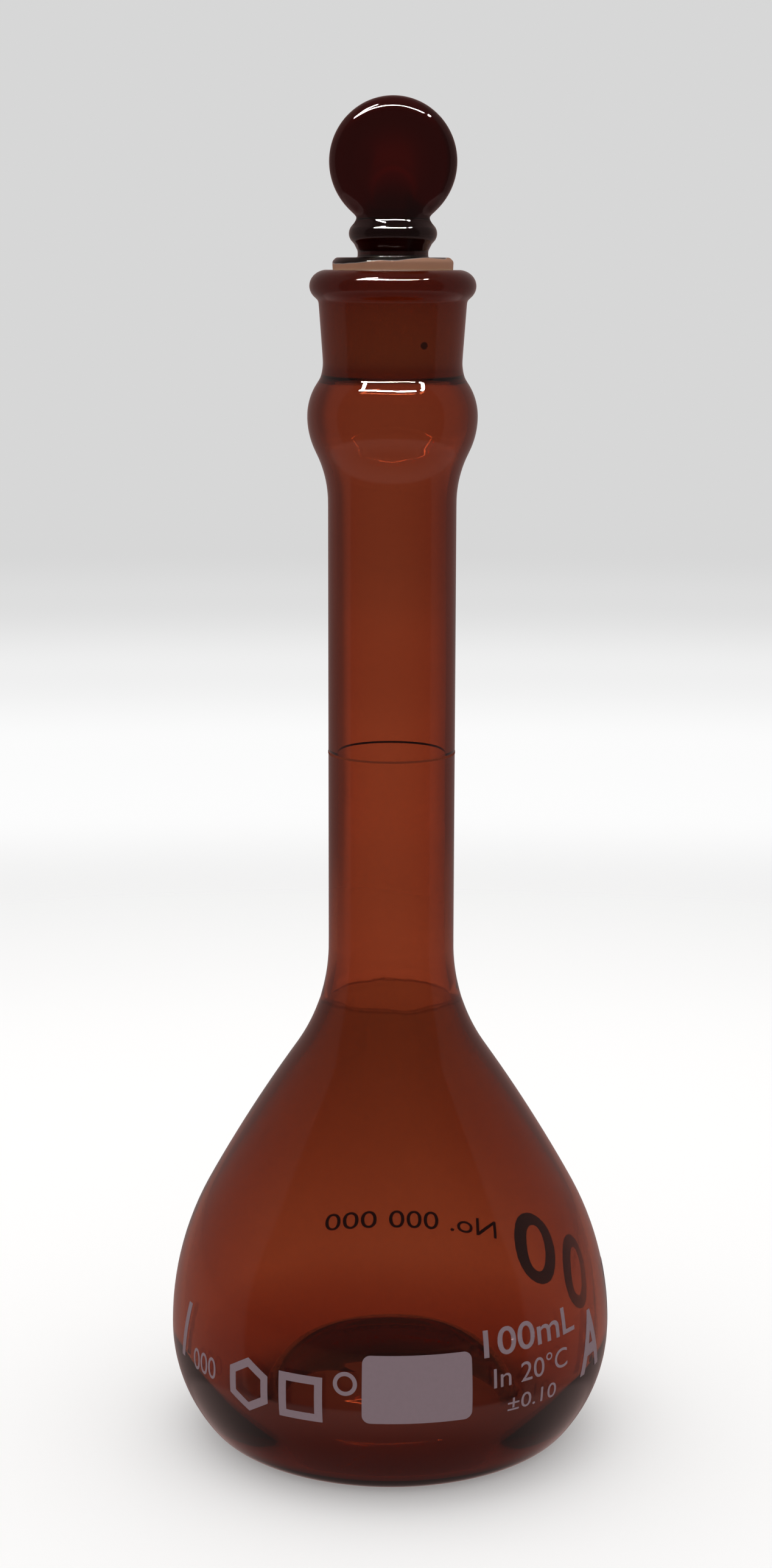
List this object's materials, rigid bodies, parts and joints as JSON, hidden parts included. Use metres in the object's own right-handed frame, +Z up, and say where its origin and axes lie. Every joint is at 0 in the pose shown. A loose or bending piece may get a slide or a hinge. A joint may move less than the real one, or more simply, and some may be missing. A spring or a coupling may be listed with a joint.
{
  "type": "volumetric flask",
  "caption": "Amber glass volumetric flask: pear-shaped bulb, narrow neck with a graduation line, reservoir bulge, ground socket, flat-headed glass stopper.",
  "frame": {"origin": "on the flask's axis, in the plane of the flat ring it stands on", "axes": "+Z up along the flask's axis through the stopper; -Y is the front, which the flat stopper head and the marking patch face; +X to the right"},
  "size_m": [0.0606, 0.0607, 0.1809],
  "materials": {
    "flask_glass": "clear amber glass, ground inside the socket",
    "stopper_glass": "solid amber glass, plug ground matt",
    "line_enamel": "thin brown fired-on line",
    "patch_enamel": "matt fired-on enamel, thin white over amber glass, so mauve grey"
  },
  "bodies": {
    "flask": {"flask_body": "flask_glass", "graduation_ring": "line_enamel", "marking_patch": "patch_enamel"},
    "stopper": {"stopper": "stopper_glass"}
  },
  "joints": [
    {"name": "stopper_lift", "type": "slide", "parent": "flask", "child": "stopper", "axis": [0, 0, 1], "range_m": [0, 0.05]}
  ]
}
